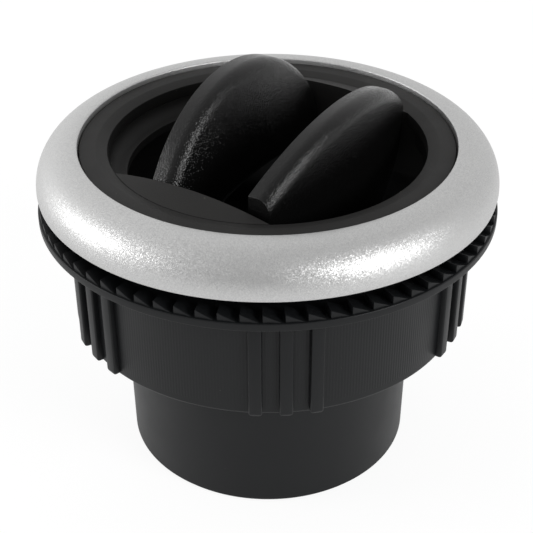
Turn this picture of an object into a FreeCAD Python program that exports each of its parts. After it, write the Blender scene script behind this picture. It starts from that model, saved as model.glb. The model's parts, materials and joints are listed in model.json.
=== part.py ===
import FreeCAD, Part
import math
import os
import re

import Sketcher

# Dashboard air vent with two linked, domed vanes in a turning drum.
# Frame: origin at the centre of the duct's open end, +Z up the vent's axis.
# Millimetres. The drum and the vanes stand as in the photograph.

doc = FreeCAD.newDocument("air_vent")

SIZES = {
    # Duct that the hose is pushed over.
    "duct_radius": 29.6,
    "duct_wall": 2.2,
    "duct_length": 31.7,
    "duct_lead_in": 0.5,
    "duct_bore_length": 31.0,
    "duct_flare": 1.6,
    # Ribbed body with the toothed clamping flange.
    "body_radius": 39.7,
    "body_height": 22.7,
    "body_wall": 2.0,
    "body_floor": 2.2,
    "body_edge_round": 0.7,
    "flange_reach": 5.5,
    "flange_thickness": 1.55,
    "tooth_count": 72,
    "tooth_height": 1.6,
    "tooth_width": 3.3,
    "tooth_length": 3.2,
    "tooth_setback": 0.4,
    "tooth_first_angle": 0.9,
    "rib_groups": 6,
    "ribs_in_group": 3,
    "rib_pitch": 8,
    "rib_first_angle": 26.6,
    "rib_width": 2.5,
    "rib_depth": 1.2,
    "rib_round": 0.9,
    # Sleeve that passes through the panel and carries the trim ring.
    "sleeve_gap": 0.2,
    "sleeve_wall": 2.2,
    "panel_room": 4.05,
    "sleeve_flange_thickness": 1.6,
    "upstand_thickness": 1.6,
    "upstand_rise": 1.3,
    "bearing_thickness": 2.0,
    # Silver trim ring.
    "trim_gap": 0.25,
    "trim_flat": 0.85,
    "trim_bead": 7.6,
    "trim_wall": 1.8,
    "trim_inner_wall": 1.25,
    "trim_lip": 0.31,
    "trim_tuck": 0.86,
    # Black face ring on the drum.
    "face_sink": 0.86,
    "face_rim": 2.9,
    "face_thickness": 1.8,
    "face_slope": 2.2,
    "face_dip": 0.6,
    "face_skirt_wall": 1.0,
    "face_skirt_depth": 1.2,
    # Turning drum.
    "turning_gap": 0.3,
    "drum_step": 1.6,
    "drum_wall": 1.5,
    "drum_barrel_depth": 11.9,
    "drum_turn": 57.0,
    "ledge_width": 3.5,
    "ledge_drop": 2.55,
    "ledge_thickness": 1.6,
    "ledge_sweep": 136,
    "shelf_width": 5.15,
    "shelf_rise": 0.5,
    "shelf_wall": 2.1,
    "shelf_skin": 1.5,
    "shelf_lift": 3.0,
    "shelf_end_wall": 2.19,
    # Vanes: one domed disc, split along an arc, each half on its own pivot.
    "dome_radius": 90.0,
    "dome_rise": 4.4,
    "vane_rim_gap": 1.4,
    "vane_end_gap": 0.85,
    "vane_thickness": 4.4,
    "vane_edge_flat": 1.5,
    "vane_end_round": 0.5,
    "vane_open": 88.0,
    "split_radius": 40.4,
    "split_reach": 7.9,
    "split_gap": 0.8,
    "pivot_depth": 10.5,
    "pivot_inset": 6.02,
    "pin_radius": 1.5,
    "pin_gap": 0.05,
    "ear_radius": 2.4,
    "ear_thickness": 2.0,
    # Crank levers and tie bar behind the rear shelf, washers behind the front one.
    "crank_radius": 4.0,
    "crank_angle": 222.5,
    "crank_thickness": 0.9,
    "crank_hub_radius": 2.3,
    "crank_end_radius": 1.4,
    "crank_pin_radius": 0.8,
    "bar_thickness": 0.8,
    "bar_end_radius": 1.3,
    "side_gap": 0.2,
    "washer_radius": 2.3,
    "washer_thickness": 1.0,
    # Foam seal under the face ring.
    "seal_thickness": 1.3,
    "seal_inset": 0.7,
    "seal_margin": 0.3,
}

# Radii and heights that follow from the sizes of the pieces that they meet.
TIED = {
    "flange_radius": "body_radius + flange_reach",
    "flange_height": "duct_length + body_height",
    "neck_height": "flange_height + flange_thickness + panel_room",
    "drum_barrel_radius": "body_radius - body_wall - sleeve_gap - sleeve_wall - turning_gap",
    "drum_neck_radius": "drum_barrel_radius - drum_step",
    "opening_radius": "drum_neck_radius - drum_wall - face_skirt_wall",
    "face_land_radius": "opening_radius + face_slope",
    "face_radius": "drum_neck_radius + face_rim",
    "trim_inner_radius": "face_radius + trim_gap",
    "trim_radius": "trim_inner_radius + trim_flat + trim_bead",
    "trim_top": "neck_height + trim_tuck + trim_bead",
    "face_top": "trim_top - face_sink",
    "opening_height": "face_top - face_dip",
    "skirt_bottom": "face_top - face_thickness - face_skirt_depth - pin_gap",
    "bearing_height": "face_top - face_thickness - turning_gap - seal_thickness",
    "sleeve_flange_radius": "trim_radius - trim_wall - sleeve_gap",
    "upstand_radius": "trim_inner_radius + trim_inner_wall + sleeve_gap",
    "upstand_height": "bearing_height + upstand_rise",
    "drum_shoulder": "bearing_height - bearing_thickness - turning_gap",
    "drum_bottom": "drum_shoulder - drum_barrel_depth",
    "seal_inner_radius": "drum_neck_radius + seal_inset",
    "seal_outer_radius": "face_radius - seal_margin",
    "ledge_radius": "opening_radius - ledge_width",
    "ledge_height": "skirt_bottom - ledge_drop",
    "shelf_reach": "opening_radius - shelf_width",
    "shelf_bottom": "drum_bottom + shelf_lift",
    "shelf_hollow_width": "2 * (sqrt((opening_radius - pin_gap)^2 - shelf_reach^2) - shelf_end_wall)",
    "dome_top": "face_top + dome_rise",
    "vane_radius": "opening_radius - vane_rim_gap",
    "vane_half_length": "shelf_reach - vane_end_gap",
    "vane_edge_round": "vane_thickness - vane_edge_flat",
    "split_offset": "split_radius - split_reach",
    "pivot_height": "dome_top - pivot_depth",
    "pivot_offset": "sqrt(vane_radius^2 - vane_half_length^2) - pivot_inset",
}

# Two lengths closer than this are the same.
NEAR = 0.01

sheet = doc.addObject("Spreadsheet::Sheet", "sizes")
for row, (word, size) in enumerate(SIZES.items(), start=1):
    sheet.set(f"A{row}", word)
    sheet.set(f"B{row}", str(size))
    sheet.setAlias(f"B{row}", word)
doc.recompute()


def bound(text):
    """Write an expression with the sheet's own cells, and spell each tied value out."""
    def spelled(match):
        word = match[0]
        if word in TIED:
            return "(" + bound(TIED[word]) + ")"
        return "sizes." + word if word in SIZES else word

    return re.sub(r"[a-z][a-z_]+", spelled, str(text))


def number(text):
    """The value of an expression in the sheet's sizes."""
    value = sheet.evalExpression(bound(text))
    return float(getattr(value, "Value", value))


def bind(item, **expressions):
    """Tie properties of an object to expressions in the sheet's sizes."""
    for name, text in expressions.items():
        item.setExpression(name.replace("__", "."), bound(text))


def stand(item, x="0", y="0", z="0", turn="0", tilt="0"):
    """Tie an object's place, its turn about Z and its tilt about its own X."""
    place = f"create(<<vector>>; {x}; {y}; {z})"
    turned = f"create(<<rotation>>; {turn}; 0; {tilt})"
    item.setExpression("Placement", bound(f"create(<<placement>>; {place}; {turned})"))


def plane(body, role):
    """One of a body's own origin planes."""
    return next(f for f in body.Origin.OriginFeatures if f.Role == role)


def sketch(body, name, role, *loops, arcs=()):
    """A sketch of closed loops, each corner tied to a pair of expressions.

    arcs maps (loop, corner) to the centre of the arc that runs from that corner
    to the next one, and to whether it runs anticlockwise.
    """
    drawing = body.newObject("Sketcher::SketchObject", name)
    drawing.AttachmentSupport = [(plane(body, role), "")]
    drawing.MapMode = "FlatFace"
    arcs = dict(arcs)
    for which, corners in enumerate(loops):
        first = drawing.GeometryCount
        points = [FreeCAD.Vector(number(x), number(y), 0) for x, y in corners]
        ends = []
        for i, start in enumerate(points):
            end = points[(i + 1) % len(points)]
            if (which, i) in arcs:
                cx, cy, anticlockwise = arcs[which, i]
                centre = FreeCAD.Vector(number(cx), number(cy), 0)
                circle = Part.Circle(centre, FreeCAD.Vector(0, 0, 1), start.distanceToPoint(centre))
                a = math.atan2(start.y - centre.y, start.x - centre.x)
                b = math.atan2(end.y - centre.y, end.x - centre.x)
                piece = Part.ArcOfCircle(circle, a, b) if anticlockwise else Part.ArcOfCircle(circle, b, a)
                ends.append((1, 2) if anticlockwise else (2, 1))
            else:
                piece = Part.LineSegment(start, end)
                ends.append((1, 2))
            drawing.addGeometry(piece, False)
        for i, (x, y) in enumerate(corners):
            following = (i + 1) % len(corners)
            drawing.addConstraint(Sketcher.Constraint(
                "Coincident", first + i, ends[i][1], first + following, ends[following][0]))
            for kind, text in (("DistanceX", x), ("DistanceY", y)):
                if (which, i) in arcs and kind == "DistanceY" and arcs[which, i][1] == y:
                    # The start is level with the arc's centre.
                    drawing.addConstraint(Sketcher.Constraint(
                        "Horizontal", first + i, ends[i][0], first + i, 3))
                    continue
                here = drawing.addConstraint(Sketcher.Constraint(
                    kind, -1, 1, first + i, ends[i][0], number(text)))
                drawing.setExpression(f"Constraints[{here}]", bound(text))
            if (which, i) in arcs:
                here = drawing.addConstraint(Sketcher.Constraint(
                    "DistanceY", -1, 1, first + i, 3, number(arcs[which, i][1])))
                drawing.setExpression(f"Constraints[{here}]", bound(arcs[which, i][1]))
    return drawing


def revolve(body, drawing, angle="360", both_ways=False):
    """Turn a sketch about its own vertical axis."""
    turned = body.newObject("PartDesign::Revolution", drawing.Name + "_turned")
    turned.Profile = drawing
    turned.ReferenceAxis = (drawing, ["V_Axis"])
    turned.Midplane = both_ways
    bind(turned, Angle=angle)
    return turned


def pad(body, drawing, length, both_ways=False):
    """Push a sketch out to a length."""
    raised = body.newObject("PartDesign::Pad", drawing.Name + "_raised")
    raised.Profile = drawing
    raised.Midplane = both_ways
    bind(raised, Length=length)
    return raised


def aim(drawing, turn, reach="0"):
    """Turn an upright sketch about the body's Z axis and move it out along its normal."""
    place = f"create(<<vector>>; ({reach}) * sin({turn}); 0; ({reach}) * cos({turn}))"
    drawing.setExpression("AttachmentOffset", bound(
        f"create(<<placement>>; {place}; create(<<rotation>>; 0; {turn}; 0))"))


def new_body(label):
    body = doc.addObject("PartDesign::Body", label)
    body.Label = label
    return body


def cylinder(name, radius, height, x="0", y="0", z="0", along_x=False):
    """A cylinder that starts at a place and runs along Z, or along X."""
    item = doc.addObject("Part::Cylinder", name)
    bind(item, Radius=radius, Height=height)
    if along_x:
        place = f"create(<<vector>>; {x}; {y}; {z})"
        item.setExpression("Placement", bound(f"create(<<placement>>; {place}; create(<<rotation>>; 0; 90; 0))"))
    else:
        stand(item, x, y, z)
    return item


def box(name, length, width, height, x, y, z):
    item = doc.addObject("Part::Box", name)
    bind(item, Length=length, Width=width, Height=height)
    stand(item, x, y, z)
    return item


def ball(name, radius, y, z):
    item = doc.addObject("Part::Sphere", name)
    bind(item, Radius=radius)
    stand(item, "0", y, z)
    return item


def common(name, *items):
    item = doc.addObject("Part::MultiCommon", name)
    item.Shapes = list(items)
    return item


def fuse(name, *items):
    item = doc.addObject("Part::MultiFuse", name)
    item.Shapes = list(items)
    return item


def cut(name, base, tool):
    item = doc.addObject("Part::Cut", name)
    item.Base = base
    item.Tool = tool
    return item


# Rear body: duct, floor, ribbed wall, flange and crown of saw teeth in one moulding.
def make_rear_body():
    body = new_body("rear_body")
    bore = "duct_radius - duct_wall"
    inside = "body_radius - body_wall"
    floor_top = "duct_length + body_floor"
    flange_top = "flange_height + flange_thickness"
    wall = sketch(
        body, "body_section", "XZ_Plane",
        [(bore, "0"),
         ("duct_radius - duct_lead_in", "0"),
         ("duct_radius", "duct_lead_in"),
         ("duct_radius", "duct_length"),
         ("body_radius - body_edge_round", "duct_length"),
         ("body_radius", "duct_length + body_edge_round"),
         ("body_radius", "flange_height"),
         ("flange_radius", "flange_height"),
         ("flange_radius", flange_top),
         (inside, flange_top),
         (inside, floor_top),
         (bore + " + duct_flare", floor_top),
         (bore, "duct_bore_length")],
        arcs={(0, 4): ("body_radius - body_edge_round", "duct_length + body_edge_round", True)})
    revolve(body, wall)

    # A rib seen along the radius, with rounded lower corners; it starts inside the wall.
    rib_root = "(body_radius - body_wall / 2)"
    rib_top = "flange_height + flange_thickness / 2"
    rib_side = sketch(
        body, "rib_side", "YZ_Plane",
        [("rib_round - rib_width / 2", "duct_length"),
         ("rib_width / 2 - rib_round", "duct_length"),
         ("rib_width / 2", "duct_length + rib_round"),
         ("rib_width / 2", rib_top),
         ("-rib_width / 2", rib_top),
         ("-rib_width / 2", "duct_length + rib_round")],
        arcs={(0, 1): ("rib_width / 2 - rib_round", "duct_length + rib_round", True),
              (0, 5): ("rib_round - rib_width / 2", "duct_length + rib_round", True)})
    rib = pad(body, rib_side, f"body_radius + rib_depth - {rib_root}")
    aim(rib_side, "rib_first_angle", rib_root)
    doc.recompute()
    ribs = body.newObject("PartDesign::MultiTransform", "ribs")
    ribs.Originals = [rib]
    group = body.newObject("PartDesign::PolarPattern", "rib_group")
    group.Axis = (plane(body, "Z_Axis"), [""])
    bind(group, Angle="rib_pitch * (ribs_in_group - 1)", Occurrences="ribs_in_group")
    around = body.newObject("PartDesign::PolarPattern", "rib_groups_around")
    around.Axis = (plane(body, "Z_Axis"), [""])
    bind(around, Angle="360", Occurrences="rib_groups")
    ribs.Transformations = [group, around]
    body.Tip = ribs

    # A saw tooth seen along the radius: steep on one side, sloping on the other.
    tooth_side = sketch(
        body, "tooth_side", "YZ_Plane",
        [("-tooth_width / 2", "flange_height + flange_thickness / 2"),
         ("tooth_width / 2", "flange_height + flange_thickness / 2"),
         ("tooth_width / 2", flange_top),
         ("-tooth_width / 2", "flange_height + flange_thickness + tooth_height")])
    aim(tooth_side, "tooth_first_angle", "flange_radius - tooth_setback - tooth_length")
    tooth = pad(body, tooth_side, "tooth_length")
    crown = body.newObject("PartDesign::PolarPattern", "crown")
    crown.Originals = [tooth]
    crown.Axis = (plane(body, "Z_Axis"), [""])
    bind(crown, Angle="360", Occurrences="tooth_count")
    body.Tip = crown
    return body


# Front sleeve: neck through the panel, flange behind the trim ring, bearing for the drum.
def make_front_sleeve():
    body = new_body("front_sleeve")
    outside = "body_radius - body_wall - sleeve_gap"
    inside = outside + " - sleeve_wall"
    floor_top = "duct_length + body_floor"
    flange_top = "neck_height + sleeve_flange_thickness"
    bearing_bore = "drum_neck_radius + turning_gap"
    section = sketch(
        body, "sleeve_section", "XZ_Plane",
        [(inside, floor_top),
         (outside, floor_top),
         (outside, "neck_height"),
         ("sleeve_flange_radius", "neck_height"),
         ("sleeve_flange_radius", flange_top),
         ("upstand_radius + upstand_thickness", flange_top),
         ("upstand_radius + upstand_thickness", "upstand_height"),
         ("upstand_radius", "upstand_height"),
         ("upstand_radius", "bearing_height"),
         (bearing_bore, "bearing_height"),
         (bearing_bore, "bearing_height - bearing_thickness"),
         (inside, "bearing_height - bearing_thickness")])
    revolve(body, section)
    return body


# Trim ring: a hollow silver bead whose inner wall stands on the sleeve.
def make_trim_ring():
    body = new_body("trim_ring")
    centre_radius = "(trim_radius - trim_bead)"
    centre_height = "(trim_top - trim_bead)"
    inner_wall_face = "(trim_inner_radius + trim_inner_wall)"
    hollow = "(trim_bead - trim_wall)"
    reach = f"sqrt({hollow}^2 - ({inner_wall_face} - {centre_radius})^2)"
    section = sketch(
        body, "trim_section", "XZ_Plane",
        [("trim_inner_radius", "bearing_height"),
         (inner_wall_face, "bearing_height"),
         (inner_wall_face, f"{centre_height} + {reach}"),
         (f"{centre_radius} + {hollow}", centre_height),
         (f"{centre_radius} + {hollow}", f"{centre_height} - trim_tuck"),
         ("trim_radius - trim_tuck", f"{centre_height} - trim_tuck"),
         ("trim_radius", centre_height),
         (centre_radius, "trim_top"),
         ("trim_inner_radius + trim_lip", "trim_top"),
         ("trim_inner_radius", "trim_top - trim_lip")],
        arcs={(0, 2): (centre_radius, centre_height, False),
              (0, 5): ("trim_radius - trim_tuck", centre_height, True),
              (0, 6): (centre_radius, centre_height, True),
              (0, 8): ("trim_inner_radius + trim_lip", "trim_top - trim_lip", True)})
    revolve(body, section)
    return body


# Face ring: the flat black ring with its chamfered opening, spigoted into the drum.
def make_face_ring():
    body = new_body("face_ring")
    underside = "face_top - face_thickness"
    neck_bore = "drum_neck_radius - drum_wall"
    section = sketch(
        body, "face_section", "XZ_Plane",
        [("opening_radius", underside + " - face_skirt_depth"),
         (neck_bore + " - pin_gap", underside + " - face_skirt_depth"),
         (neck_bore + " - pin_gap", underside),
         ("face_radius", underside),
         ("face_radius", "face_top"),
         ("face_land_radius", "face_top"),
         ("opening_radius", "opening_height")])
    revolve(body, section)
    stand(body, turn="drum_turn")
    return body


# Drum: neck, shoulder, barrel, closing ledge, and two hollow shelves with the pivot holes.
def make_louvre_drum():
    shell = new_body("drum_shell")
    neck_bore = "drum_neck_radius - drum_wall"
    barrel_bore = "drum_barrel_radius - drum_wall"
    neck_top = "face_top - face_thickness"
    section = sketch(
        shell, "drum_section", "XZ_Plane",
        [(barrel_bore, "drum_bottom"),
         ("drum_barrel_radius", "drum_bottom"),
         ("drum_barrel_radius", "drum_shoulder"),
         ("drum_neck_radius", "drum_shoulder"),
         ("drum_neck_radius", neck_top),
         (neck_bore, neck_top),
         (neck_bore, "drum_shoulder - drum_wall"),
         (barrel_bore, "drum_shoulder - drum_wall")])
    revolve(shell, section)
    doc.recompute()
    rooted = "drum_neck_radius - drum_wall / 2"
    ledge = sketch(
        shell, "ledge_section", "YZ_Plane",
        [("ledge_radius", "ledge_height - ledge_thickness"),
         (rooted, "ledge_height - ledge_thickness"),
         (rooted, "skirt_bottom"),
         ("opening_radius", "skirt_bottom"),
         ("opening_radius - ledge_drop", "ledge_height"),
         ("ledge_radius", "ledge_height")],
        arcs={(0, 3): ("opening_radius - ledge_drop", "skirt_bottom", False)})
    revolve(shell, ledge, "ledge_sweep", both_ways=True)

    # The shelves are cut from one turned, domed plug, and their hollows from another.
    inside_opening = "(opening_radius - pin_gap)"
    dome_centre = "(dome_top + shelf_rise - dome_radius)"
    plug = new_body("shelf_plug")
    revolve(plug, sketch(
        plug, "plug_section", "XZ_Plane",
        [("0", "shelf_bottom"),
         (barrel_bore + " + drum_wall / 2", "shelf_bottom"),
         (barrel_bore + " + drum_wall / 2", "drum_shoulder - drum_wall / 2"),
         (rooted, "drum_shoulder - drum_wall / 2"),
         (rooted, "skirt_bottom"),
         (inside_opening, "skirt_bottom"),
         (inside_opening, f"{dome_centre} + sqrt(dome_radius^2 - {inside_opening}^2)"),
         ("0", f"{dome_centre} + dome_radius")],
        arcs={(0, 6): ("0", dome_centre, True)}))
    space_reach = f"({inside_opening} - shelf_skin)"
    space_radius = "(dome_radius - shelf_skin)"
    space = new_body("shelf_space")
    revolve(space, sketch(
        space, "space_section", "XZ_Plane",
        [("0", "drum_bottom"),
         (barrel_bore, "drum_bottom"),
         (barrel_bore, "drum_shoulder - drum_wall"),
         (neck_bore, "drum_shoulder - drum_wall"),
         (neck_bore, "skirt_bottom - shelf_skin / 3"),
         (space_reach, "skirt_bottom - shelf_skin / 3"),
         (space_reach, f"{dome_centre} + sqrt({space_radius}^2 - {space_reach}^2)"),
         ("0", f"{dome_centre} + {space_radius}")],
        arcs={(0, 6): ("0", dome_centre, True)}))
    shelves = []
    hollows = []
    for word, side in (("front", "-1"), ("rear", "1")):
        outer = box(word + "_outer", "drum_barrel_radius", "2 * drum_barrel_radius",
                    "dome_top + shelf_rise - shelf_bottom",
                    f"{side} * (shelf_reach + drum_barrel_radius / 2) - drum_barrel_radius / 2",
                    "-drum_barrel_radius", "shelf_bottom")
        shelves.append(common(word + "_shelf", plug, outer))
        behind = box(word + "_behind", "drum_barrel_radius", "shelf_hollow_width",
                     "dome_top + shelf_rise - drum_bottom",
                     f"{side} * (shelf_reach + shelf_wall + drum_barrel_radius / 2) - drum_barrel_radius / 2",
                     "-shelf_hollow_width / 2", "drum_bottom")
        hollows.append(common(word + "_hollow", space, behind))
    solid = fuse("drum_solid", shell, *shelves)
    spaces = fuse("drum_spaces", *hollows)
    holes = [
        cylinder(f"pivot_hole_{word}", "pin_radius + pin_gap", "2 * opening_radius",
                 "-opening_radius", f"{side} * pivot_offset", "pivot_height", along_x=True)
        for word, side in (("left", "1"), ("right", "-1"))]
    # Scallops in the ledge's ends keep it clear of the left vane's ears.
    room = "(shelf_reach - vane_half_length + ear_thickness + side_gap)"
    for word, start in (("front", "-shelf_reach"), ("rear", f"shelf_reach - {room}")):
        holes.append(cylinder(f"{word}_ear_room", "ear_radius + side_gap", room,
                              start, "pivot_offset", "pivot_height", along_x=True))
    drum = cut("louvre_drum", cut("drum_hollowed", solid, spaces), fuse("pivot_holes", *holes))
    stand(drum, turn="drum_turn")
    return drum


def vane_place(item, side):
    """Put a vane's own frame, whose X axis is the pivot, on the drum and open it."""
    stand(item,
          f"-({side}) * pivot_offset * sin(drum_turn)",
          f"({side}) * pivot_offset * cos(drum_turn)",
          "pivot_height", "drum_turn", "vane_open")


# Vane: its share of the domed disc, with an ear and a pin at each end.
def make_vane(name, side):
    axis_y = f"-({side}) * pivot_offset"
    tall = "dome_top - pivot_height"
    disc = cylinder(name + "_disc", "vane_radius", tall, y=axis_y)
    length = box(name + "_length", "2 * vane_half_length", "2 * vane_radius", tall,
                 "-vane_half_length", f"{axis_y} - vane_radius", "0")
    dome = ball(name + "_dome", "dome_radius", axis_y, "dome_top - dome_radius - pivot_height")
    under = ball(name + "_under", "dome_radius", axis_y,
                 "dome_top - dome_radius - pivot_height - vane_thickness")
    split_y = f"{axis_y} - split_offset"
    if side == "1":
        split = cylinder(name + "_split", "split_radius + split_gap", tall, y=split_y)
        outline = cut(name + "_outline", common(name + "_ends", disc, length), split)
        blank = common(name + "_blank", outline, dome)
    else:
        split = cylinder(name + "_split", "split_radius", tall, y=split_y)
        blank = common(name + "_blank", disc, length, split, dome)
    blade = cut(name + "_blade", blank, under)
    doc.recompute()

    rounded = doc.addObject("Part::Fillet", name + "_rounded")
    rounded.Base = blade
    centre = FreeCAD.Vector(0, number(axis_y), number("dome_top - dome_radius - pivot_height"))
    top_edges = []
    for index, edge in enumerate(blade.Shape.Edges, start=1):
        middle = edge.valueAt((edge.FirstParameter + edge.LastParameter) / 2)
        if abs(middle.distanceToPoint(centre) - number("dome_radius")) < NEAR:
            at_end = abs(abs(middle.x) - number("vane_half_length")) < NEAR
            corner = number("vane_end_round" if at_end else "vane_edge_round")
            top_edges.append((index, corner, corner))
    rounded.Edges = top_edges

    root_top = "dome_top - dome_radius + sqrt(dome_radius^2 - vane_half_length^2 - pivot_offset^2)" \
               " - pivot_height - vane_thickness / 2"
    pieces = [rounded]
    for end, sign in (("front", "-1"), ("rear", "1")):
        start = "-vane_half_length" if sign == "-1" else "vane_half_length - ear_thickness"
        pieces.append(cylinder(f"{name}_{end}_ear", "ear_radius", "ear_thickness", start, along_x=True))
        pieces.append(box(f"{name}_{end}_root", "ear_thickness", "2 * ear_radius",
                          root_top, start, "-ear_radius", "0"))
    behind_wall = "(shelf_reach + shelf_wall + side_gap)"
    pieces.append(cylinder(f"{name}_front_pin", "pin_radius",
                           f"{behind_wall} + washer_thickness - vane_half_length",
                           f"-{behind_wall} - washer_thickness", along_x=True))
    pieces.append(cylinder(f"{name}_rear_pin", "pin_radius",
                           f"{behind_wall} + crank_thickness - vane_half_length",
                           "vane_half_length", along_x=True))
    vane = fuse(name, *pieces)
    vane_place(vane, side)
    return vane


# Crank lever on a vane's rear pin, with the small pin that drives the tie bar.
def make_crank(name, side):
    inner = "(shelf_reach + shelf_wall + side_gap)"
    pin_y = "crank_radius * cos(crank_angle)"
    pin_z = "crank_radius * sin(crank_angle)"
    hub = cylinder(name + "_hub", "crank_hub_radius", "crank_thickness", inner, along_x=True)
    arm = box(name + "_arm", "crank_thickness", "crank_radius", "2 * crank_end_radius",
              inner, "0", "-crank_end_radius")
    middle = f"create(<<vector>>; {inner}; crank_end_radius * sin(crank_angle); " \
             f"-crank_end_radius * cos(crank_angle))"
    arm.setExpression("Placement", bound(
        f"create(<<placement>>; {middle}; create(<<rotation>>; 0; 0; crank_angle))"))
    end = cylinder(name + "_end", "crank_end_radius", "crank_thickness", inner, pin_y, pin_z, along_x=True)
    drive = cylinder(name + "_drive_pin", "crank_pin_radius",
                     "crank_thickness + side_gap + bar_thickness", inner, pin_y, pin_z, along_x=True)
    hole = cylinder(name + "_bore", "pin_radius", "2 * crank_thickness",
                    f"{inner} - crank_thickness / 2", along_x=True)
    crank = cut(name, fuse(name + "_solid", hub, arm, end, drive), hole)
    vane_place(crank, side)
    return crank


# Tie bar: a flat link with an eye on each crank's pin, so that both vanes turn alike.
def make_tie_bar():
    inner = "(shelf_reach + shelf_wall + side_gap + crank_thickness + side_gap)"
    shift_y = "crank_radius * cos(crank_angle + vane_open)"
    shift_z = "pivot_height + crank_radius * sin(crank_angle + vane_open)"
    solids = [box("tie_bar_web", "bar_thickness", "2 * pivot_offset", "2 * bar_end_radius",
                  inner, f"{shift_y} - pivot_offset", f"{shift_z} - bar_end_radius")]
    holes = []
    for word, side in (("left", "1"), ("right", "-1")):
        y = f"{shift_y} + {side} * pivot_offset"
        solids.append(cylinder(f"tie_bar_{word}_end", "bar_end_radius", "bar_thickness",
                               inner, y, shift_z, along_x=True))
        holes.append(cylinder(f"tie_bar_{word}_eye", "crank_pin_radius + pin_gap", "3 * bar_thickness",
                              f"{inner} - bar_thickness", y, shift_z, along_x=True))
    bar = cut("tie_bar", fuse("tie_bar_solid", *solids), fuse("tie_bar_eyes", *holes))
    stand(bar, turn="drum_turn")
    return bar


# Friction washer on a vane's front pin, behind the front shelf's wall.
def make_washer(name, side):
    inner = "(shelf_reach + shelf_wall + side_gap)"
    ring = cylinder(name + "_disc", "washer_radius", "washer_thickness",
                    f"-{inner} - washer_thickness", along_x=True)
    bore = cylinder(name + "_bore", "pin_radius", "3 * washer_thickness",
                    f"-{inner} - 2 * washer_thickness", along_x=True)
    washer = cut(name, ring, bore)
    vane_place(washer, side)
    return washer


# Foam ring between the sleeve's bearing and the turning face ring.
def make_drum_seal():
    body = new_body("drum_seal")
    top = "face_top - face_thickness - turning_gap"
    section = sketch(
        body, "seal_section", "XZ_Plane",
        [("seal_inner_radius", "bearing_height"),
         ("seal_outer_radius", "bearing_height"),
         ("seal_outer_radius", top),
         ("seal_inner_radius", top)])
    revolve(body, section)
    return body


NODES = [
    make_rear_body(),
    make_front_sleeve(),
    make_trim_ring(),
    make_drum_seal(),
    make_face_ring(),
    make_louvre_drum(),
    make_vane("left_vane", "1"),
    make_vane("right_vane", "-1"),
    make_crank("left_crank", "1"),
    make_crank("right_crank", "-1"),
    make_tie_bar(),
    make_washer("left_friction_washer", "1"),
    make_washer("right_friction_washer", "-1"),
]
doc.recompute()

failed = [item.Name for item in doc.Objects if {"Invalid", "Error"} & set(item.State)]
if failed:
    raise RuntimeError("failed objects: " + ", ".join(failed))
for node in NODES:
    shape = node.Shape
    if shape.isNull() or not shape.isValid() or len(shape.Solids) != 1:
        raise RuntimeError(f"{node.Label} is not one valid solid")

os.makedirs("parts", exist_ok=True)
for node in NODES:
    node.Shape.exportStep(f"parts/{node.Label}.step")
    print(f"{node.Label}: {node.Shape.Volume / 1000:.2f} cm3")
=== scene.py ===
import json
import math

import bpy
from mathutils import Matrix, Vector

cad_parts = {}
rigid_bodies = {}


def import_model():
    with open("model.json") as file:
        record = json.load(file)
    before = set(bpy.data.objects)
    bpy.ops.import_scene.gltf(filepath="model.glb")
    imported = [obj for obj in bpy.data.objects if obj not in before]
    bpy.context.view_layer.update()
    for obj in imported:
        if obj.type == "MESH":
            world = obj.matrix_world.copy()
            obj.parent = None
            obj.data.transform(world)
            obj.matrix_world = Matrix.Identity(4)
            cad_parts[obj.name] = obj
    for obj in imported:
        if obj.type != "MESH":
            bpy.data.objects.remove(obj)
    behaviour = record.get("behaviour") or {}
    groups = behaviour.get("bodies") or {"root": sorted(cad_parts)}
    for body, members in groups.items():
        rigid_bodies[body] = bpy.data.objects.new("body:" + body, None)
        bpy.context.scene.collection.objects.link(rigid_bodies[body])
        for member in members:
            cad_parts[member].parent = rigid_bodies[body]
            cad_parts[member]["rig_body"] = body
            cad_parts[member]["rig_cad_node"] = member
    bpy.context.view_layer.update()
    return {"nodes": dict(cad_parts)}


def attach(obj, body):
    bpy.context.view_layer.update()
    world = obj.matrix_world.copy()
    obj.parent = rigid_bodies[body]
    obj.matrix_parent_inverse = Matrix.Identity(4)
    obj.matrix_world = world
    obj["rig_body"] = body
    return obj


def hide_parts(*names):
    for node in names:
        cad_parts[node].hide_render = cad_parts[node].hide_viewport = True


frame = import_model()
bpy.ops.object.select_all(action="DESELECT")
MM = 0.001


# Rear body. One black moulding: the duct that the hose is pushed over, the floor,
# the ribbed grip wall, and the flange with its crown of ratchet teeth that bite
# into the back of the panel when the body is screwed on.
DUCT_BORE = 27.4
DUCT_RADIUS = 29.6
DUCT_LENGTH = 31.7
DUCT_BORE_LENGTH = 31.0
FLOOR_TOP = DUCT_LENGTH + 2.2
BODY_RADIUS = 39.7
BODY_BORE = BODY_RADIUS - 2.0
FLANGE_RADIUS = 45.2
FLANGE_BOTTOM = 54.4
FLANGE_TOP = 55.95
RIB_ANGLES = [26.6 + 60 * group + 8 * rib for group in range(6) for rib in range(3)]
RIB_WIDTH = 2.5
RIB_DEPTH = 2.2
RIB_HEIGHT = 23.6
RIB_MIDDLE = 43.6
RIB_ROUND = 0.9
TOOTH_COUNT = 72
TOOTH_FIRST = 0.9
TOOTH_CENTRE = (43.2, 55.9)
TOOTH_TIP = 57.55
TOOTH_WIDTH = 3.3
TOOTH_LENGTH = 3.2
SMOOTH_ANGLE = math.radians(32)


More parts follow.
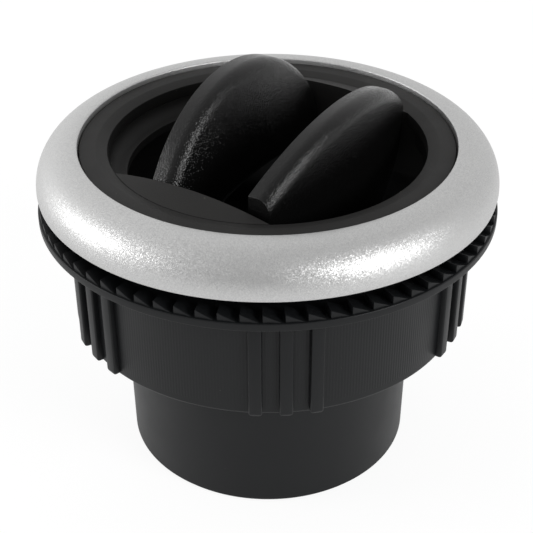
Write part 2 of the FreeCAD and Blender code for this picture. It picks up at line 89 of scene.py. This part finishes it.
def section(corners, steps=5):
    """A closed outline of (radius, height) in mm; a third number rounds that corner."""
    outline = []
    for i, (x, z, *rounding) in enumerate(corners):
        corner = Vector((x, z))
        if not rounding:
            outline.append(corner)
            continue
        back = (Vector(corners[i - 1][:2]) - corner).normalized()
        on = (Vector(corners[(i + 1) % len(corners)][:2]) - corner).normalized()
        half = back.angle(on) / 2
        centre = corner + (back + on).normalized() * rounding[0] / math.sin(half)
        start = corner + back * rounding[0] / math.tan(half) - centre
        sweep = start.angle_signed(corner + on * rounding[0] / math.tan(half) - centre)
        for step in range(steps + 1):
            outline.append(centre + Matrix.Rotation(-sweep * step / steps, 2) @ start)
    return outline


def turned(name, outline, steps=256):
    """Spin a closed outline about the vent's axis into a solid ring."""
    bpy.ops.mesh.primitive_circle_add(vertices=len(outline), radius=1)
    piece = bpy.context.object
    piece.name = piece.data.name = name
    for vertex, (radius, height) in zip(piece.data.vertices, outline):
        vertex.co = (radius * MM, 0, height * MM)
    bpy.ops.object.mode_set(mode="EDIT")
    bpy.ops.mesh.select_all(action="SELECT")
    bpy.ops.mesh.spin(steps=steps, angle=math.tau, center=(0, 0, 0), axis=(0, 0, 1))
    bpy.ops.mesh.select_all(action="SELECT")
    bpy.ops.mesh.remove_doubles(threshold=1e-6)
    bpy.ops.mesh.normals_make_consistent(inside=False)
    bpy.ops.object.mode_set(mode="OBJECT")
    bpy.ops.object.shade_smooth_by_angle(angle=SMOOTH_ANGLE)
    return piece


def only(piece):
    """Make one piece the selected and active one."""
    bpy.ops.object.select_all(action="DESELECT")
    piece.select_set(True)
    bpy.context.view_layer.objects.active = piece


def bevelled(piece, width, segments=2, angle=35):
    """Round a piece's sharp edges by a width in mm and apply it."""
    only(piece)
    bevel = piece.modifiers.new("edges", "BEVEL")
    bevel.width = width * MM
    bevel.segments = segments
    bevel.limit_method = "ANGLE"
    bevel.angle_limit = math.radians(angle)
    bpy.ops.object.modifier_apply(modifier=bevel.name)
    bpy.ops.object.shade_smooth_by_angle(angle=SMOOTH_ANGLE)


def around(piece, angles):
    """Copy a piece to each angle about the vent's axis and join the copies."""
    copies = []
    for angle in angles:
        copy = piece.copy()
        copy.data = piece.data.copy()
        copy.data.transform(Matrix.Rotation(math.radians(angle), 4, "Z"))
        bpy.context.collection.objects.link(copy)
        copies.append(copy)
    bpy.data.objects.remove(piece)
    bpy.ops.object.select_all(action="DESELECT")
    for copy in copies:
        copy.select_set(True)
    bpy.context.view_layer.objects.active = copies[0]
    bpy.ops.object.join()
    return copies[0]


def material(name, colour, roughness, metallic=0.0, specular=0.5):
    """A new node material with its shader's plain values set."""
    finish = bpy.data.materials.new(name)
    finish.use_nodes = True
    shader = finish.node_tree.nodes["Principled BSDF"]
    shader.inputs["Base Color"].default_value = (*colour, 1)
    shader.inputs["Roughness"].default_value = roughness
    shader.inputs["Metallic"].default_value = metallic
    shader.inputs["Specular IOR Level"].default_value = specular
    return finish


def node(finish, kind, *inputs, **settings):
    """Add a node; an input is a value or another node's output socket."""
    item = finish.node_tree.nodes.new("ShaderNode" + kind)
    for name, value in settings.items():
        setattr(item, name, value)
    for socket, value in zip(item.inputs, inputs):
        if isinstance(value, bpy.types.NodeSocket):
            finish.node_tree.links.new(value, socket)
        else:
            socket.default_value = value
    return item


def maths(finish, operation, *inputs):
    """The result of one Math node."""
    return node(finish, "Math", *inputs, operation=operation).outputs[0]


def place(finish):
    """The object's own coordinates, in metres."""
    return node(finish, "TexCoord").outputs["Object"]


def noise(finish, grain, detail=2.0, roughness=0.5):
    """Noise whose features are about a grain, in mm, across."""
    item = node(finish, "TexNoise", place(finish))
    item.inputs["Scale"].default_value = 1 / (grain * MM)
    item.inputs["Detail"].default_value = detail
    item.inputs["Roughness"].default_value = roughness
    return item.outputs["Fac"]


def specks(finish, spacing, size, share):
    """A mask of scattered specks: a share of the cells holds one, of a size in mm."""
    cells = node(finish, "TexVoronoi", place(finish))
    cells.inputs["Scale"].default_value = 1 / (spacing * MM)
    lot = node(finish, "SeparateColor", cells.outputs["Color"]).outputs[0]
    picked = maths(finish, "LESS_THAN", lot, share)
    near = maths(finish, "LESS_THAN", cells.outputs["Distance"], size / spacing / 2)
    return maths(finish, "MULTIPLY", picked, near)


def shade(finish, output, socket):
    """Link an output to a socket of the shader."""
    finish.node_tree.links.new(output, finish.node_tree.nodes["Principled BSDF"].inputs[socket])


def tint(finish, mask, low, high):
    """Mix two colours by a mask into the shader's base colour."""
    mix = node(finish, "Mix", data_type="RGBA")
    finish.node_tree.links.new(mask, mix.inputs["Factor"])
    for socket, value in ((mix.inputs[6], low), (mix.inputs[7], high)):
        if isinstance(value, bpy.types.NodeSocket):
            finish.node_tree.links.new(value, socket)
        else:
            socket.default_value = (*value, 1)
    shade(finish, mix.outputs[2], "Base Color")
    return mix.outputs[2]


def spread(finish, value, low, high):
    """Stretch a 0 to 1 value to the range from low to high."""
    item = node(finish, "MapRange", value)
    item.inputs["To Min"].default_value = low
    item.inputs["To Max"].default_value = high
    return item.outputs[0]


def bump(finish, height, depth, under=None):
    """Raise the surface by a 0 to 1 height times a depth in mm."""
    item = node(finish, "Bump")
    item.inputs["Strength"].default_value = 1.0
    item.inputs["Distance"].default_value = depth * MM
    finish.node_tree.links.new(height, item.inputs["Height"])
    if under:
        finish.node_tree.links.new(under, item.inputs["Normal"])
    shade(finish, item.outputs[0], "Normal")
    return item.outputs[0]


HOUSING_COLOUR = (0.0075, 0.0082, 0.009)
HOUSING_SPECK = (0.08, 0.08, 0.075)
TOOL_LINES = 420
TOOL_LINE_DEPTH = 0.016
TOOL_LINES_ABOVE = 33.5
housing_black = material("moulded_black", HOUSING_COLOUR, 0.38, specular=0.24)
spot = node(housing_black, "SeparateXYZ", place(housing_black))
angle = maths(housing_black, "ARCTAN2", spot.outputs["Y"], spot.outputs["X"])
lines = maths(housing_black, "SINE", maths(housing_black, "MULTIPLY", angle, TOOL_LINES))
above_floor = maths(housing_black, "GREATER_THAN", spot.outputs["Z"], TOOL_LINES_ABOVE * MM)
flat_radius = maths(housing_black, "SQRT", maths(
    housing_black, "ADD",
    maths(housing_black, "MULTIPLY", spot.outputs["X"], spot.outputs["X"]),
    maths(housing_black, "MULTIPLY", spot.outputs["Y"], spot.outputs["Y"])))
on_wall = maths(housing_black, "LESS_THAN", flat_radius, (BODY_RADIUS + 0.1) * MM)
ribbed_wall = maths(housing_black, "MULTIPLY", above_floor, on_wall)
lines = maths(housing_black, "MULTIPLY", lines, ribbed_wall)
lines = maths(housing_black, "MULTIPLY", lines, noise(housing_black, 7.0))
fine = bump(housing_black, noise(housing_black, 0.25, 3.0), 0.006)
bump(housing_black, lines, TOOL_LINE_DEPTH, fine)
shade(housing_black, spread(housing_black, noise(housing_black, 7.0, 4.0), 0.34, 0.46), "Roughness")
tint(housing_black, specks(housing_black, 2.2, 0.16, 0.1), HOUSING_COLOUR, HOUSING_SPECK)

rear_body = turned("body_shell", section([
    (DUCT_BORE, 0, 0.35),
    (DUCT_RADIUS - 0.75, 0, 0.2),
    (DUCT_RADIUS - 0.15, 0.7, 0.3),
    (DUCT_RADIUS + 0.2, DUCT_LENGTH, 0.5),
    (BODY_RADIUS, DUCT_LENGTH, 0.7),
    (BODY_RADIUS, FLANGE_BOTTOM, 0.5),
    (FLANGE_RADIUS, FLANGE_BOTTOM, 0.2),
    (FLANGE_RADIUS, FLANGE_TOP, 0.2),
    (BODY_BORE, FLANGE_TOP, 0.3),
    (BODY_BORE, FLOOR_TOP, 0.5),
    (DUCT_BORE + 1.6, FLOOR_TOP, 0.4),
    (DUCT_BORE, DUCT_BORE_LENGTH, 0.8),
]), 288)

on_body = ((BODY_RADIUS + 0.1) * MM, 0, RIB_MIDDLE * MM)
bpy.ops.mesh.primitive_cube_add(size=1, location=on_body)
rib = bpy.context.object
rib.scale = (RIB_DEPTH * MM, RIB_WIDTH * MM, RIB_HEIGHT * MM)
bpy.ops.object.transform_apply(location=True, rotation=False, scale=True)
bpy.ops.object.mode_set(mode="EDIT")
bpy.ops.mesh.select_all(action="DESELECT")
bpy.ops.object.mode_set(mode="OBJECT")
for edge in rib.data.edges:
    ends = [rib.data.vertices[v].co for v in edge.vertices]
    low_end = all(co.z < RIB_MIDDLE * MM for co in ends)
    edge.select = low_end and abs(ends[0].x - ends[1].x) > MM
bpy.ops.object.mode_set(mode="EDIT")
bpy.ops.mesh.bevel(offset=RIB_ROUND * MM, segments=5, affect="EDGES")
bpy.ops.object.mode_set(mode="OBJECT")
bevelled(rib, 0.28, 3)
ribs = around(rib, RIB_ANGLES)

on_flange = (TOOTH_CENTRE[0] * MM, 0, TOOTH_CENTRE[1] * MM)
bpy.ops.mesh.primitive_cube_add(size=1, location=on_flange)
tooth = bpy.context.object
tooth.scale = (TOOTH_LENGTH * MM, TOOTH_WIDTH * MM, 1.5 * MM)
bpy.ops.object.transform_apply(location=True, rotation=False, scale=True)
for vertex in tooth.data.vertices:
    if vertex.co.z > TOOTH_CENTRE[1] * MM:
        vertex.co.z = (TOOTH_TIP if vertex.co.y < 0 else FLANGE_TOP) * MM
bevelled(tooth, 0.1, 2)
tooth_angles = [TOOTH_FIRST + 360 / TOOTH_COUNT * i for i in range(TOOTH_COUNT)]
teeth = around(tooth, tooth_angles)

only(rear_body)
ribs.select_set(True)
teeth.select_set(True)
bpy.ops.object.join()
rear_body.name = "rear_body_moulding"
rear_body.data.materials.append(housing_black)
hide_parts("rear_body")
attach(rear_body, "housing")


# Front sleeve. Black moulding behind the trim: its neck passes through the panel
# and screws into the rear body, and its top flange carries the trim and the drum.
NECK_BORE = 35.3
NECK_RADIUS = 37.5
PANEL_SEAT = 60.0
SLEEVE_FLANGE = (43.0, 61.6)
UPSTAND_RADIUS = 39.6
UPSTAND_BORE = 38.0
UPSTAND_TOP = 65.5
BEARING_BORE = 33.7
BEARING_TOP = 64.2
BEARING_BOTTOM = 62.2
sleeve = turned("front_sleeve_moulding", section([
    (NECK_BORE, FLOOR_TOP, 0.3),
    (NECK_RADIUS, FLOOR_TOP, 0.3),
    (NECK_RADIUS, PANEL_SEAT, 0.4),
    (SLEEVE_FLANGE[0], PANEL_SEAT, 0.25),
    (*SLEEVE_FLANGE, 0.25),
    (UPSTAND_RADIUS, SLEEVE_FLANGE[1], 0.3),
    (UPSTAND_RADIUS, UPSTAND_TOP, 0.3),
    (UPSTAND_BORE, UPSTAND_TOP, 0.3),
    (UPSTAND_BORE, BEARING_TOP, 0.2),
    (BEARING_BORE, BEARING_TOP, 0.2),
    (BEARING_BORE, BEARING_BOTTOM, 0.2),
    (NECK_BORE, BEARING_BOTTOM, 0.3),
], 3), 192)
sleeve.data.materials.append(housing_black)
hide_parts("front_sleeve")
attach(sleeve, "housing")


# Trim ring. A hollow bead moulded in plastic and sprayed with satin silver paint,
# whose fine metallic flake sparkles near the highlights; it clips onto the sleeve.
BEAD_CENTRE = (37.4, 60.86)
BEAD_RADIUS = 7.6
BEAD_HOLLOW = 5.8
FLAKE_SIZE = 0.15
FLAKE_LEAN = 0.26
FLAKE_DARK = (0.56, 0.56, 0.56)
FLAKE_LIGHT = (0.66, 0.66, 0.655)
PAINT_SPECK = (0.12, 0.11, 0.1)
silver = material("silver_paint", (0.6, 0.6, 0.6), 0.44, metallic=0.85)
flakes = node(silver, "TexVoronoi", place(silver))
flakes.inputs["Scale"].default_value = 1 / (FLAKE_SIZE * MM)
facing = node(silver, "VectorMath", flakes.outputs["Color"], (0.5, 0.5, 0.5), operation="SUBTRACT")
leaning = node(silver, "VectorMath", facing.outputs[0], operation="SCALE")
leaning.inputs["Scale"].default_value = FLAKE_LEAN
surface = node(silver, "NewGeometry").outputs["Normal"]
normal = node(silver, "VectorMath", surface, leaning.outputs[0], operation="ADD")
normal = node(silver, "VectorMath", normal.outputs[0], operation="NORMALIZE")
shade(silver, normal.outputs[0], "Normal")
flake_tone = node(silver, "SeparateColor", flakes.outputs["Color"]).outputs[1]
painted = tint(silver, flake_tone, FLAKE_DARK, FLAKE_LIGHT)
tint(silver, specks(silver, 3.0, 0.18, 0.04), painted, PAINT_SPECK)
shade(silver, spread(silver, noise(silver, 6.0, 3.0), 0.4, 0.47), "Roughness")


def on_bead(radius, degrees):
    """A point of the bead's section at an angle above its centre."""
    turn = math.radians(degrees)
    across, above = radius * math.cos(turn), radius * math.sin(turn)
    return (BEAD_CENTRE[0] + across, BEAD_CENTRE[1] + above)


bead = [on_bead(BEAD_RADIUS, 5 * i) for i in range(19)]
hollow = [on_bead(BEAD_HOLLOW, 86 - 86 / 12 * i) for i in range(13)]
trim_foot = [(43.2, PANEL_SEAT, 0.1), (44.3, PANEL_SEAT, 0.3), (44.93, 60.35)]
inner_wall = [(36.55, 68.46, 0.31), (36.55, BEARING_TOP, 0.1), (37.8, BEARING_TOP, 0.1)]
trim = turned("trim_ring_bead", section(trim_foot + bead + inner_wall + hollow, 4), 320)
trim.data.materials.append(silver)
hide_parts("trim_ring")
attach(trim, "housing")


# Drum seal. A ring of closed-cell foam stuck on the sleeve's bearing; it keeps the
# air in and gives the turning drum its drag.
foam = material("seal_foam", (0.02, 0.02, 0.02), 0.9, specular=0.2)
bump(foam, noise(foam, 0.5, 4.0, 0.7), 0.08)
SEAL_INNER, SEAL_OUTER, SEAL_TOP = 34.1, 36.0, 65.5
seal = turned("drum_seal_foam", section([
    (SEAL_INNER, BEARING_TOP, 0.1),
    (SEAL_OUTER, BEARING_TOP, 0.1),
    (SEAL_OUTER, SEAL_TOP, 0.35),
    (SEAL_INNER, SEAL_TOP, 0.35),
], 3), 128)
seal.data.materials.append(foam)
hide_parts("drum_seal")
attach(seal, "housing")


# Face ring. The flat matte ring round the opening, spark-eroded so that it doesn't
# dazzle the driver; it turns with the drum and is clipped into its neck.
FACE_COLOUR = (0.019, 0.0185, 0.018)
FACE_SPECK = (0.2, 0.19, 0.16)
OPENING_RADIUS = 30.9
FACE_RADIUS = 36.3
FACE_TOP = 67.6
FACE_BOTTOM = 65.8
SKIRT_BOTTOM = 64.6
face_black = material("face_black", FACE_COLOUR, 0.6, specular=0.2)
bump(face_black, noise(face_black, 0.2, 3.0, 0.6), 0.045)
shade(face_black, spread(face_black, noise(face_black, 5.0, 3.0), 0.5, 0.62), "Roughness")
tint(face_black, specks(face_black, 1.6, 0.2, 0.05), FACE_COLOUR, FACE_SPECK)
face = turned("face_ring_moulding", section([
    (OPENING_RADIUS, SKIRT_BOTTOM, 0.15),
    (31.85, SKIRT_BOTTOM, 0.1),
    (31.85, FACE_BOTTOM, 0.1),
    (FACE_RADIUS, FACE_BOTTOM, 0.2),
    (FACE_RADIUS, FACE_TOP, 0.3),
    (33.1, FACE_TOP, 1.6),
    (OPENING_RADIUS, 67.0, 0.12),
]), 320)
face.data.materials.append(face_black)
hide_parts("face_ring")
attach(face, "drum")


# Louvre drum. The black moulding that turns in the sleeve: neck, barrel, the ledge
# that closes the gap beside the left vane, and two shelves that hold the pivots.
def smoothed(cad_node, name, width=0.0, segments=2, angle=35):
    """A merged, smooth-shaded copy of a solid, with its edges rounded by a width in mm."""
    piece = frame["nodes"][cad_node].copy()
    piece.data = piece.data.copy()
    piece.name = piece.data.name = name
    piece.parent = None
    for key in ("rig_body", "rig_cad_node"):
        del piece[key]
    bpy.context.collection.objects.link(piece)
    only(piece)
    bpy.ops.mesh.customdata_custom_splitnormals_clear()
    bpy.ops.object.mode_set(mode="EDIT")
    bpy.ops.mesh.select_all(action="SELECT")
    bpy.ops.mesh.remove_doubles(threshold=2e-6)
    bpy.ops.mesh.dissolve_limited(angle_limit=math.radians(0.5))
    bpy.ops.object.mode_set(mode="OBJECT")
    bpy.ops.object.shade_smooth_by_angle(angle=SMOOTH_ANGLE)
    if width:
        bevelled(piece, width, segments, angle)
    piece.data.materials.clear()
    return piece


drum = smoothed("louvre_drum", "louvre_drum_moulding", 0.08)
drum.data.materials.append(face_black)
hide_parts("louvre_drum")
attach(drum, "drum")


# Vanes. Two halves of one domed disc, split along an arc; each is a thick grained
# blade that swings on pins in the shelves. They stand almost upright here.
VANE_COLOUR = (0.0035, 0.0035, 0.0035)
VANE_SPECK = (0.1, 0.1, 0.09)
VANE_GRAIN = 0.27
VANE_GRAIN_DEPTH = 0.12
vane_black = material("grained_black", VANE_COLOUR, 0.2, specular=0.38)
bump(vane_black, noise(vane_black, VANE_GRAIN, 1.0, 0.6), VANE_GRAIN_DEPTH)
shade(vane_black, spread(vane_black, noise(vane_black, 4.0, 3.0), 0.11, 0.17), "Roughness")
tint(vane_black, specks(vane_black, 1.8, 0.14, 0.04), VANE_COLOUR, VANE_SPECK)
left_vane = smoothed("left_vane", "left_vane_blade", 0.3, 3, 40)
right_vane = smoothed("right_vane", "right_vane_blade", 0.3, 3, 40)
for vane, side in ((left_vane, "left_vane"), (right_vane, "right_vane")):
    vane.data.materials.append(vane_black)
    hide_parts(side)
    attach(vane, side)


# Linkage. Two crank levers and a flat tie bar in slippery natural plastic, behind the
# rear shelf, make both vanes swing alike.
link_plastic = material("link_plastic", (0.5, 0.49, 0.44), 0.45)
bump(link_plastic, noise(link_plastic, 0.6, 3.0), 0.01)
shade(link_plastic, spread(link_plastic, noise(link_plastic, 2.0), 0.38, 0.5), "Roughness")
LINK_BODIES = {"left_crank": "left_vane", "right_crank": "right_vane", "tie_bar": "tie_bar"}
for link, body in LINK_BODIES.items():
    piece = smoothed(link, link + "_moulding", 0.08)
    piece.data.materials.append(link_plastic)
    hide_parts(link)
    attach(piece, body)


# Friction washers. Small rubber rings on the front pins that hold the vanes where
# they are put.
rubber = material("washer_rubber", (0.02, 0.02, 0.02), 0.7, specular=0.3)
bump(rubber, noise(rubber, 0.3, 3.0), 0.02)
for side in ("left", "right"):
    piece = smoothed(side + "_friction_washer", side + "_washer_rubber", 0.15)
    piece.data.materials.append(rubber)
    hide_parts(side + "_friction_washer")
    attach(piece, side + "_vane")


# Studio. A white table and white surroundings that are brighter to the left and behind,
# a soft lamp low on each side, and the camera of the photograph.
TABLE_GLOW = 1.06
GLOW_IN_LIGHT, GLOW_TO_CAMERA = 0.3, 0.85
SURROUND = 0.53
BRIGHTER_LEFT = 0.42
BRIGHTER_BEHIND = 0.3
bpy.ops.mesh.primitive_plane_add(size=6, location=(0, 0, -0.05 * MM))
floor = bpy.context.object
floor.name = "floor"
table = material("white_table", (0.86, 0.86, 0.86), 0.9)
tree = table.node_tree
seen = node(table, "LightPath").outputs["Is Camera Ray"]
glow = node(table, "Emission", (1, 1, 1, 1), TABLE_GLOW)
share = spread(table, seen, GLOW_IN_LIGHT, GLOW_TO_CAMERA)
both = node(table, "MixShader", share, tree.nodes["Principled BSDF"].outputs[0], glow.outputs[0])
tree.links.new(both.outputs[0], tree.nodes["Material Output"].inputs["Surface"])
floor.data.materials.append(table)

world = bpy.data.worlds.new("studio")
bpy.context.scene.world = world
world.use_nodes = True
tree = world.node_tree
towards = node(world, "SeparateXYZ", node(world, "TexCoord").outputs["Generated"])
on_left = maths(world, "MULTIPLY", towards.outputs["X"], -BRIGHTER_LEFT)
on_left = maths(world, "MAXIMUM", on_left, 0.0)
behind = maths(world, "MULTIPLY", towards.outputs["Y"], BRIGHTER_BEHIND)
level = maths(world, "ADD", maths(world, "ADD", on_left, behind), SURROUND)
seen = node(world, "LightPath").outputs["Is Camera Ray"]
tree.links.new(maths(world, "MAXIMUM", level, seen), tree.nodes["Background"].inputs["Strength"])
tree.nodes["Background"].inputs["Color"].default_value = (1, 1, 1, 1)

AIM = Vector((0, 0, 30 * MM))


def lamp(name, azimuth, elevation, distance, width, height, power):
    """A soft rectangular lamp, aimed at the vent; azimuth 0 is the camera's side."""
    a, e = math.radians(azimuth), math.radians(elevation)
    back = Vector((math.sin(a) * math.cos(e), -math.cos(a) * math.cos(e), math.sin(e)))
    light = bpy.data.lights.new(name, "AREA")
    light.shape = "RECTANGLE"
    light.size = width
    light.size_y = height
    light.energy = power
    lamp_object = bpy.data.objects.new(name, light)
    lamp_object.location = AIM + back * distance
    lamp_object.rotation_euler = (-back).to_track_quat("-Z", "Y").to_euler()
    bpy.context.collection.objects.link(lamp_object)


lamp("right_softbox", 52, 27, 0.9, 0.34, 0.28, 3.6)
lamp("left_softbox", -88, 20, 0.9, 0.4, 0.3, 2.3)

FRAME_PIXELS = 533
FOCAL_PIXELS = 1233.634
SHIFT_PIXELS = (-1.612, 32.794)
CAMERA_DISTANCE = 260
CAMERA_ELEVATION = math.radians(34.593)
CAMERA_ROLL = math.radians(-0.208)
camera_data = bpy.data.cameras.new("camera")
camera_data.sensor_width = 36
camera_data.lens = 36 * FOCAL_PIXELS / FRAME_PIXELS
camera_data.shift_x = SHIFT_PIXELS[0] / FRAME_PIXELS
camera_data.shift_y = SHIFT_PIXELS[1] / FRAME_PIXELS
camera = bpy.data.objects.new("camera", camera_data)
back = Vector((0, -math.cos(CAMERA_ELEVATION), math.sin(CAMERA_ELEVATION)))
camera.location = AIM + CAMERA_DISTANCE * MM * back
camera.rotation_euler = (math.radians(90) - CAMERA_ELEVATION, 0, 0)
camera.rotation_euler.rotate_axis("Z", CAMERA_ROLL)
camera_data.clip_start = 0.01
camera_data.clip_end = 20
bpy.context.collection.objects.link(camera)
bpy.context.scene.camera = camera
bpy.context.scene.view_settings.view_transform = "Standard"
